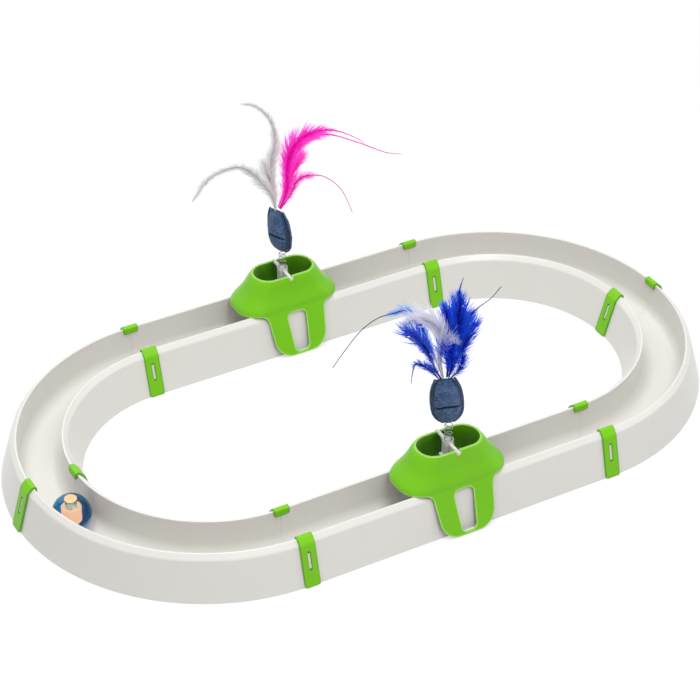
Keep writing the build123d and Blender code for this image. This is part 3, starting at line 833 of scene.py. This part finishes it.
def makePods(s, t):
    denim = denimMaterial(denimFinish)
    thread = threadMaterial(threadFinish)
    filled = fillPod(s)
    sewPod(s, filled)
    faces = [p.vertices for p in filled.data.polygons]
    surface = BVHTree.FromPolygons([v.co for v in filled.data.vertices], faces)
    edge = edgeTree(s)
    stitch = stitchTree(t)
    edgeLine = [p * mm for p in podLoop(s, s["edgeMm"] / 2)]
    cast = t["castMm"] * mm
    around = [onCloth(surface, podLoop(s, s["edgeMm"] + t["insetMm"]), side, cast) for side in (1, -1)]
    across = [onCloth(surface, zigzagLine(s, t), 1, cast)]
    edgeValues = {
        "Edge width": s["edgeMm"] * mm, "Edge thickness": s["edgeThickMm"] * mm, "Material": denim,
    }
    ringValues = {
        "Pitch": t["pitchMm"] * mm, "Stitch length": t["lengthMm"] * mm,
        "Thread width": t["widthMm"] * mm, "Seed": t["seed"], "Material": thread,
    }
    crossValues = ringValues | {
        "Pitch": t["zigzagPitchMm"] * t["zigzagSpacing"] * mm,
        "Stitch length": t["zigzagPitchMm"] * t["zigzagLength"] * mm,
        "Thread width": t["zigzagWidthMm"] * mm,
    }
    stand = Matrix(((1, 0, 0, 0), (0, 0, -1, 0), (0, 1, 0, 0), (0, 0, 0, 1)))  # turns the panel upright
    for side, teaser in teasers.items():
        label = side.capitalize()
        fanTurn = Matrix.Rotation(math.radians(teaser["fanYaw"]), 4, "Z")
        lean = Matrix.Rotation(math.radians(-podLean), 4, "Y")
        podTurn = Matrix.Rotation(math.radians(teaser["podYaw"] - teaser["fanYaw"]), 4, "Z")
        place = Matrix.Translation((0, teaser["y"], podBottom)) @ fanTurn @ lean @ podTurn @ stand
        pod = newObject(f"denimPod{label}", filled.data.copy())
        pod.data.materials.clear()
        pod.data.materials.append(denim)
        pod.data.shade_smooth()
        welt = grow(f"podEdge{label}", lineMesh("edgeLine", [edgeLine], True), edge, edgeValues)
        ring = sewRow(f"podStitches{label}", stitch, around, ringValues, True)
        cross = sewRow(f"podZigzag{label}", stitch, across, crossValues, False)
        for piece in (pod, welt, ring, cross):
            piece.data.transform(place)
            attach(piece, f"pod_{side}")
        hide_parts(f"pod_{side}")
    bpy.data.objects.remove(filled)


makePods(podSizes, stitchSizes)
print("pods sewn")

# Feathers: a tapered quill with two rows of barbs, which stray more on the looser feathers
featherSizes = {
    "barbPitchMm": 0.28, "barbWidth": 0.04, "barbCurl": 0.3,  # width and curl as shares of its length
    "rootAngle": 52, "tipAngle": 24, "liftAngle": 10,  # degrees from the quill, and out of the vane
    "fullness": 1.05, "rag": (0.72, 1.08),  # what all barbs reach of the half width, and their spread
    "clumpMm": 3.2, "clumpTurn": 0.65,  # barbs that cling together, and their turn in radians
    "quillMm": (0.6, 0.34),  # radius at the root and at the tip
    "planeMm": 1.3, "planeAngle": 5,  # from one plane of the fan to the next
    "twistRoot": 1.5, "twistFall": 2,  # shares of a feather's twist, at its root and lost up to its tip
    "leastWidthMm": 0.2, "steps": 14, "seed": 11,
}
barbShape = {
    "points": 6, "rootWidth": 1.08, "droop": -0.12, "toneSpread": 0.6, "quillSides": 5, "seedStep": 10,
    "looseLift": 1.1, "looseSway": 0.5, "leastSway": 0.08,  # radians that a loose barb strays
    "clumpDetail": 1.5, "clumpGain": 0.7, "clumpLeast": 0.62,  # a clump makes its barbs longer or shorter
    "rowShift": 0.07,  # metres by which the second row's clumps are moved, so that they differ
}
bunches = {  # a feather: plane in the fan, paleness, looseness, twist in degrees, then its way across
    # and above the fan's foot in mm, then half widths in mm at shares of that way
    "blueFeathersFront": {
        "side": "front", "node": "blue_feathers_front", "slot": "blue_feather", "finish": "blue",
        "feathers": [
            (0.5, 0.0, 0.25, 10, [(-3, 3), (-2, 20), (0, 37), (3.5, 53), (5.5, 70), (6, 87), (6, 102),
             (9, 115)],
             [(0, 2), (0.12, 6), (0.3, 11), (0.45, 16), (0.6, 12.5), (0.75, 7), (0.85, 2.6), (0.93, 1),
             (1, 0.6)]),
            (0.2, 0.0, 0.3, 5, [(-4, 3), (-2, 40), (-4, 66), (-9, 88)],
             [(0, 1), (0.3, 5), (0.6, 10), (0.85, 7), (1, 1.5)]),
            (1.0, 0.0, 0.4, 0, [(-1.5, 3), (6, 23), (13.5, 43), (20, 60)],
             [(0, 2), (0.3, 7), (0.6, 11), (0.85, 9), (1, 4)]),
            (-0.8, 0.0, 0.6, 15, [(-2, 3), (0, 17), (-1.5, 30), (-6, 43)],
             [(0, 2), (0.3, 9), (0.65, 13.5), (0.9, 10), (1, 5)]),
            (-0.4, 0.0, 0.8, -20, [(0, 3), (6.5, 10), (10.4, 18), (12, 27)],
             [(0, 2), (0.3, 6), (0.7, 8), (1, 4)]),
            (-1.5, 0.1, 0.35, 20, [(-10, 3), (-17, 20), (-25, 42), (-35, 59), (-44, 68)],
             [(0, 1), (0.25, 4), (0.5, 9), (0.75, 12), (0.92, 8), (1, 3)]),
            (-2.5, 0.05, 0.2, 0, [(-11, 3), (-19, 16), (-28, 25), (-35.5, 28), (-38, 15), (-38.7, 0)],
             [(0, 1), (0.25, 6), (0.45, 7), (0.6, 2.5), (0.75, 1), (1, 0.3)]),
            (-1.2, 0.0, 0.8, 30, [(-9, 3), (-13, 10), (-19, 18), (-25, 22)],
             [(0, 1.5), (0.4, 5), (0.8, 5), (1, 2)]),
            (2.5, 1.0, 0.2, -10, [(-8, 3), (-20, 35), (-30.4, 60), (-41.4, 71.8), (-54.8, 70),
             (-71, 65), (-87, 52.5), (-103, 31.7), (-114, 15.5)],
             [(0, 1), (0.2, 5), (0.33, 9), (0.42, 8), (0.5, 5.5), (0.58, 1.5), (0.7, 0.8), (1, 0.3)]),
            (1.5, 0.1, 0.25, -15, [(-1.5, 3), (5.7, 33), (14.2, 63), (24.5, 75.4), (37.5, 86),
             (47, 98)],
             [(0, 1), (0.3, 6), (0.5, 10), (0.6, 6), (0.7, 1.6), (1, 0.4)]),
        ],
    },
    "whiteFeathersFront": {
        "side": "front", "node": "white_feathers_front", "slot": "white_feather", "finish": "lilacWhite",
        "feathers": [
            (-0.5, 0.2, 0.3, 10, [(-8, 3), (-12, 20), (-12.5, 36), (-9, 49), (-15.7, 66), (-29.4, 76),
             (-46, 73)],
             [(0, 2), (0.15, 4), (0.35, 8), (0.5, 13.5), (0.65, 14), (0.8, 11), (0.93, 6), (1, 2)]),
            (-0.7, 0.1, 0.4, -10, [(-7, 3), (-11, 28), (-9, 42), (-4, 50), (2, 49)],
             [(0, 1.5), (0.4, 5), (0.7, 8), (1, 3)]),
        ],
    },
    "pinkFeathersRear": {
        "side": "rear", "node": "pink_feathers_rear", "slot": "pink_feather", "finish": "pink",
        "feathers": [
            (0.0, 0.0, 0.25, 8, [(-2, 3), (3, 13), (6, 31), (6.5, 47.5), (9, 66), (18.5, 83), (37, 91),
             (58, 89), (78, 79), (93, 67.6)],
             [(0, 2.5), (0.08, 5), (0.2, 9), (0.32, 13), (0.45, 14), (0.55, 10.5), (0.65, 6),
             (0.75, 2.4), (0.85, 1.2), (1, 0.4)]),
            (-1.0, 0.1, 0.3, 0, [(-2, 3), (8.7, 20), (16.6, 37.7), (30, 41.4), (47.4, 36), (66.8, 15),
             (80.8, -18.3)],
             [(0, 2), (0.2, 7), (0.33, 7), (0.42, 3), (0.5, 1), (1, 0.3)]),
            (2.0, 0.3, 0.25, -10, [(-3, 3), (8.8, 28.5), (18.6, 60.6), (36, 76), (59, 76), (90, 62),
             (121, 45), (140, 39.4)],
             [(0, 2), (0.2, 6), (0.35, 9), (0.48, 6), (0.56, 2), (0.8, 1.4), (1, 0.4)]),
            (0.4, 0.0, 0.8, 20, [(-3, 3), (3, 14), (7, 28), (9, 42)],
             [(0, 2.5), (0.3, 7), (0.7, 8), (1, 4)]),
            (0.8, 0.1, 0.5, -20, [(-2, 3), (9, 26), (14, 46), (24, 60)],
             [(0, 2), (0.3, 6), (0.7, 11), (1, 5)]),
        ],
    },
    "whiteFeathersRear": {
        "side": "rear", "node": "white_feathers_rear", "slot": "white_feather", "finish": "white",
        "feathers": [
            (-2.0, 0.0, 0.25, 10, [(-8, 3), (-13, 25), (-24.6, 45.7), (-36.4, 62.7), (-51, 74),
             (-70, 73), (-87, 62), (-101.6, 37.5)],
             [(0, 2), (0.15, 8), (0.35, 9), (0.5, 7), (0.65, 6), (0.8, 5.5), (0.93, 3.5), (1, 1)]),
            (1.0, 0.1, 0.25, -5, [(-6, 3), (-10, 32), (-10, 57.6), (-4.5, 77.5), (-5, 98), (-13, 116),
             (-25.8, 127.7), (-39, 132)],
             [(0, 2), (0.15, 8), (0.35, 11), (0.5, 8), (0.65, 5.5), (0.8, 4.5), (0.93, 3.5), (1, 1)]),
            (0.3, 0.3, 0.5, 15, [(-7, 3), (-10, 28), (-15, 46), (-19, 62)],
             [(0, 2), (0.3, 8), (0.7, 10), (1, 4)]),
        ],
    },
}


def smoothWay(points, steps):  # an even curve through the given points
    ends = [2 * points[0] - points[1]] + points + [2 * points[-1] - points[-2]]
    way = []
    for a, b, c, d in zip(ends, ends[1:], ends[2:], ends[3:]):
        for i in range(steps):
            t = i / steps
            curve = (2 * a - 5 * b + 4 * c - d) * t ** 2 + (3 * b - a - 3 * c + d) * t ** 3
            way.append(0.5 * (2 * b + (c - a) * t + curve))
    return way + [points[-1]]


def featherLines(s, bunch):  # one polyline a feather, with what the barbs need to know at each point
    teaser = teasers[bunch["side"]]
    turn = Matrix.Rotation(math.radians(teaser["fanYaw"]), 4, "Z")
    fan = Matrix.Translation((0, teaser["y"], fanFoot)) @ turn
    names = ("share", "halfWidth", "paleness", "looseness", "vaneAlong", "vaneNormal")
    rows, kept = [], {name: [] for name in names}
    for plane, paleness, looseness, twist, way, widths in bunch["feathers"]:
        tilt = math.radians(plane * s["planeAngle"])
        spots = []
        for x, above in way:
            deep = plane * s["planeMm"] + above * math.sin(tilt)
            spots.append(fan @ (Vector((x, deep, above * math.cos(tilt))) * mm))
        row = smoothWay(spots, s["steps"])
        lengths = runLengths(row)
        facing = fan.to_3x3() @ Vector((0, -math.cos(tilt), math.sin(tilt)))
        for i in range(len(row)):
            share = lengths[i] / lengths[-1]
            along = (row[min(i + 1, len(row) - 1)] - row[max(i - 1, 0)]).normalized()
            angle = math.radians(twist * (s["twistRoot"] - s["twistFall"] * share))
            kept["share"].append(share)
            kept["halfWidth"].append(max(readTable(widths, share), s["leastWidthMm"]) * mm)
            kept["paleness"].append(paleness)
            kept["looseness"].append(looseness)
            kept["vaneAlong"].extend(along)
            kept["vaneNormal"].extend(Matrix.Rotation(angle, 3, along) @ facing)
        rows.append(row)
    mesh = lineMesh("featherLines", rows)
    for name, values in kept.items():
        vector = name.startswith("vane")
        layer = mesh.attributes.new(name, "FLOAT_VECTOR" if vector else "FLOAT", "POINT")
        layer.data.foreach_set("vector" if vector else "value", values)
    return mesh


def barbStrip(tree, sizes, s):  # one barb of unit length: a thin strip that bends, droops and tapers
    strip = addNode(tree, "GeometryNodeMeshGrid", {
        "Size X": 1.0, "Size Y": 1.0, "Vertices X": 2, "Vertices Y": s["points"],
    })
    flat = addNode(tree, "ShaderNodeSeparateXYZ", {0: addNode(tree, "GeometryNodeInputPosition")}).outputs
    way = addNode(tree, "ShaderNodeMath", {0: flat["Y"], 1: 0.5}, operation="ADD")
    square = addNode(tree, "ShaderNodeMath", {0: way, 1: way}, operation="MULTIPLY")
    bend = addNode(tree, "ShaderNodeMath", {0: square, 1: sizes["Barb curl"]}, operation="MULTIPLY")
    left = addNode(tree, "ShaderNodeMath", {0: s["rootWidth"], 1: square}, operation="SUBTRACT")
    taper = addNode(tree, "ShaderNodeMath", {0: left, 1: sizes["Barb width"]}, operation="MULTIPLY")
    aside = addNode(tree, "ShaderNodeMath", {0: flat["X"], 1: taper, 2: bend}, operation="MULTIPLY_ADD")
    droop = addNode(tree, "ShaderNodeMath", {0: square, 1: s["droop"]}, operation="MULTIPLY")
    shares = addNode(tree, "GeometryNodeStoreNamedAttribute", {
        "Geometry": strip.outputs["Mesh"], "Value": way, "Name": "barbShare",
    }, data_type="FLOAT", domain="POINT")
    spot = addNode(tree, "ShaderNodeCombineXYZ", {"X": aside, "Y": way, "Z": droop})
    return addNode(tree, "GeometryNodeSetPosition", {"Geometry": shares, "Position": spot})


def featherTree(s):
    tree, sizes = newTree(
        "featherBarbs", "Barb pitch", "Barb width", "Barb curl", "Root angle", "Tip angle", "Lift",
        "Fullness", "Rag low", "Rag high", "Clump scale", "Clump turn", "Quill root", "Quill tip",
        "Seed", "Material",
    )
    known = {}
    for name in ("share", "halfWidth", "looseness", "vaneAlong", "vaneNormal"):
        kind = "FLOAT_VECTOR" if name.startswith("vane") else "FLOAT"
        known[name] = addNode(tree, "GeometryNodeInputNamedAttribute", {"Name": name}, data_type=kind)
    line = addNode(tree, "GeometryNodeMeshToCurve", {"Mesh": sizes["Geometry"]})
    spaced = addNode(tree, "GeometryNodeResampleCurve", {
        "Curve": line, "Length": sizes["Barb pitch"],
    }, mode="LENGTH")
    barb = barbStrip(tree, sizes, s)
    vane = addNode(tree, "FunctionNodeAxesToRotation", {
        "Primary Axis": known["vaneAlong"], "Secondary Axis": known["vaneNormal"],
    }, primary_axis="X", secondary_axis="Z")
    angle = addNode(tree, "ShaderNodeMapRange", {
        "Value": known["share"], "To Min": sizes["Root angle"], "To Max": sizes["Tip angle"],
    })
    sine = addNode(tree, "ShaderNodeMath", {0: angle}, operation="SINE")
    wide = addNode(tree, "ShaderNodeMath", {
        0: known["halfWidth"], 1: sizes["Fullness"],
    }, operation="MULTIPLY")
    reach = addNode(tree, "ShaderNodeMath", {0: wide, 1: sine}, operation="DIVIDE")
    lean = addNode(tree, "ShaderNodeMath", {0: angle, 1: math.pi / 2}, operation="SUBTRACT")
    room = addNode(tree, "ShaderNodeMath", {
        0: known["looseness"], 1: s["looseLift"], 2: sizes["Lift"],
    }, operation="MULTIPLY_ADD")
    give = addNode(tree, "ShaderNodeMath", {
        0: known["looseness"], 1: s["looseSway"], 2: s["leastSway"],
    }, operation="MULTIPLY_ADD")
    place = addNode(tree, "GeometryNodeInputPosition")
    both = addNode(tree, "GeometryNodeJoinGeometry")
    for number, flip in enumerate((0.0, math.pi)):  # the two rows of barbs, the second one turned over
        draws = []
        ranges = ((-1.0, 1.0), (-1.0, 1.0), (sizes["Rag low"], sizes["Rag high"]), (-0.5, 0.5))
        for k, (low, high) in enumerate(ranges):
            seed = addNode(tree, "ShaderNodeMath", {
                0: sizes["Seed"], 1: number * s["seedStep"] + k,
            }, operation="ADD")
            draw = addNode(tree, "FunctionNodeRandomValue", {2: low, 3: high, 8: seed}, data_type="FLOAT")
            draws.append(draw.outputs[1])
        lifted, swayed, ragged, dye = draws
        moved = addNode(tree, "ShaderNodeVectorMath", {
            0: place, 1: (s["rowShift"] * number, 0.0, 0.0),
        }, operation="ADD")
        clump = addNode(tree, "ShaderNodeTexNoise", {
            "Vector": moved, "Scale": sizes["Clump scale"], "Detail": s["clumpDetail"],
        }).outputs["Fac"]
        middle = addNode(tree, "ShaderNodeMath", {0: clump, 1: 0.5}, operation="SUBTRACT")
        shove = addNode(tree, "ShaderNodeMath", {
            0: middle, 1: sizes["Clump turn"], 2: lean,
        }, operation="MULTIPLY_ADD")
        sweep = addNode(tree, "ShaderNodeMath", {0: swayed, 1: give, 2: shove}, operation="MULTIPLY_ADD")
        lift = addNode(tree, "ShaderNodeMath", {0: lifted, 1: room}, operation="MULTIPLY")
        stray = addNode(tree, "ShaderNodeCombineXYZ", {"X": lift, "Z": sweep})
        aimed = vane
        for turn in ((flip, 0.0, 0.0), stray):
            aimed = addNode(tree, "FunctionNodeRotateRotation", {
                0: aimed, 1: addNode(tree, "FunctionNodeEulerToRotation", {0: turn}),
            }, rotation_space="LOCAL")
        uneven = addNode(tree, "ShaderNodeMath", {
            0: clump, 1: s["clumpGain"], 2: s["clumpLeast"],
        }, operation="MULTIPLY_ADD")
        rag = addNode(tree, "ShaderNodeMath", {0: ragged, 1: uneven}, operation="MULTIPLY")
        size = addNode(tree, "ShaderNodeMath", {0: reach, 1: rag}, operation="MULTIPLY")
        row = addNode(tree, "GeometryNodeInstanceOnPoints", {
            "Points": spaced, "Instance": barb, "Rotation": aimed, "Scale": size,
        })
        tone = addNode(tree, "ShaderNodeMath", {
            0: dye, 1: s["toneSpread"], 2: clump,
        }, operation="MULTIPLY_ADD")
        dyed = addNode(tree, "GeometryNodeStoreNamedAttribute", {
            "Geometry": row, "Value": tone, "Name": "tone",
        }, data_type="FLOAT", domain="INSTANCE")
        setInputs(tree, both, {0: dyed})
    thick = addNode(tree, "ShaderNodeMapRange", {
        "Value": known["share"], "To Min": sizes["Quill root"], "To Max": sizes["Quill tip"],
    })
    ring = addNode(tree, "GeometryNodeCurvePrimitiveCircle", {
        "Resolution": s["quillSides"], "Radius": 1.0,
    })
    stem = addNode(tree, "GeometryNodeCurveToMesh", {
        "Curve": line, "Profile Curve": ring, "Scale": thick, "Fill Caps": True,
    })
    setInputs(tree, both, {0: stem})
    closeTree(tree, both, sizes["Material"])
    return tree


featherFinish = {
    "blue": {
        "name": "dyedBlueFeather", "dark": "#020a74", "colour": "#0c42ff", "tip": "#3f82ff",
        "pale": "#a4c4fb", "paintedGlow": 0.05,
    },
    "lilacWhite": {
        "name": "undyedWhiteFeather", "dark": "#cfcde2", "colour": "#efeef8", "tip": "#fbfbff",
        "pale": "#f6f6fa", "paintedGlow": 0.0,
    },
    "pink": {
        "name": "dyedPinkFeather", "dark": "#dc00aa", "colour": "#ff1cde", "tip": "#ff7aee",
        "pale": "#fbb0ee", "paintedGlow": 0.2,
    },
    "white": {
        "name": "bleachedWhiteFeather", "dark": "#d6d6d6", "colour": "#efefef", "tip": "#fafafa",
        "pale": "#f4f1f2", "paintedGlow": 0.0,
    },
}
featherLook = {"tipPower": 2.0, "paleFrom": 0.3, "roughness": 0.75, "shine": 0.15, "through": 0.4}


def featherMaterial(s, look):  # gives soft dyed barbs, darker and brighter at random from barb to barb and clump to clump, pale at the tips, lit through, with a faint painted glow
    material, tree, shader, surface = newMaterial(s["name"])
    tone = addNode(tree, "ShaderNodeAttribute", attribute_name="tone").outputs["Fac"]
    share = addNode(tree, "ShaderNodeAttribute", attribute_name="barbShare").outputs["Fac"]
    paleness = addNode(tree, "ShaderNodeAttribute", attribute_name="paleness").outputs["Fac"]
    thin = addNode(tree, "ShaderNodeMath", {0: share, 1: look["tipPower"]}, operation="POWER")
    away = addNode(tree, "ShaderNodeMapRange", {"Value": share, "From Max": look["paleFrom"]})
    wash = addNode(tree, "ShaderNodeMath", {0: paleness, 1: away}, operation="MULTIPLY")
    colour = linear(s["dark"])
    for amount, name in ((tone, "colour"), (thin, "tip"), (wash, "pale")):
        colour = addNode(tree, "ShaderNodeMix", {
            "Factor": amount, 6: colour, 7: linear(s[name]),
        }, data_type="RGBA").outputs[2]
    # painted glow: the barbs give off a little light of their own colour
    setInputs(tree, shader, {
        "Base Color": colour, "Emission Color": colour, "Emission Strength": s["paintedGlow"],
        "Roughness": look["roughness"], "Specular IOR Level": look["shine"],
    })
    through = addNode(tree, "ShaderNodeBsdfTranslucent", {"Color": colour})
    soft = addNode(tree, "ShaderNodeMixShader", {0: look["through"], 1: shader, 2: through})
    setInputs(tree, surface, {"Surface": soft})
    return material


def makeFeathers(s):
    tree = featherTree(barbShape)
    values = {
        "Barb pitch": s["barbPitchMm"] * mm, "Barb width": s["barbWidth"], "Barb curl": s["barbCurl"],
        "Root angle": math.radians(s["rootAngle"]), "Tip angle": math.radians(s["tipAngle"]),
        "Lift": math.radians(s["liftAngle"]), "Fullness": s["fullness"],
        "Rag low": s["rag"][0], "Rag high": s["rag"][1],
        "Clump scale": 1 / (s["clumpMm"] * mm), "Clump turn": s["clumpTurn"],
        "Quill root": s["quillMm"][0] * mm, "Quill tip": s["quillMm"][1] * mm, "Seed": s["seed"],
    }
    for name, bunch in bunches.items():
        finish = {"Material": featherMaterial(featherFinish[bunch["finish"]], featherLook)}
        piece = grow(name, featherLines(s, bunch), tree, values | finish)
        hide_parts(bunch["node"])
        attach(piece, f"pod_{bunch['side']}")


makeFeathers(featherSizes)
print("feathers dressed")

scene.view_settings.view_transform = "Standard"
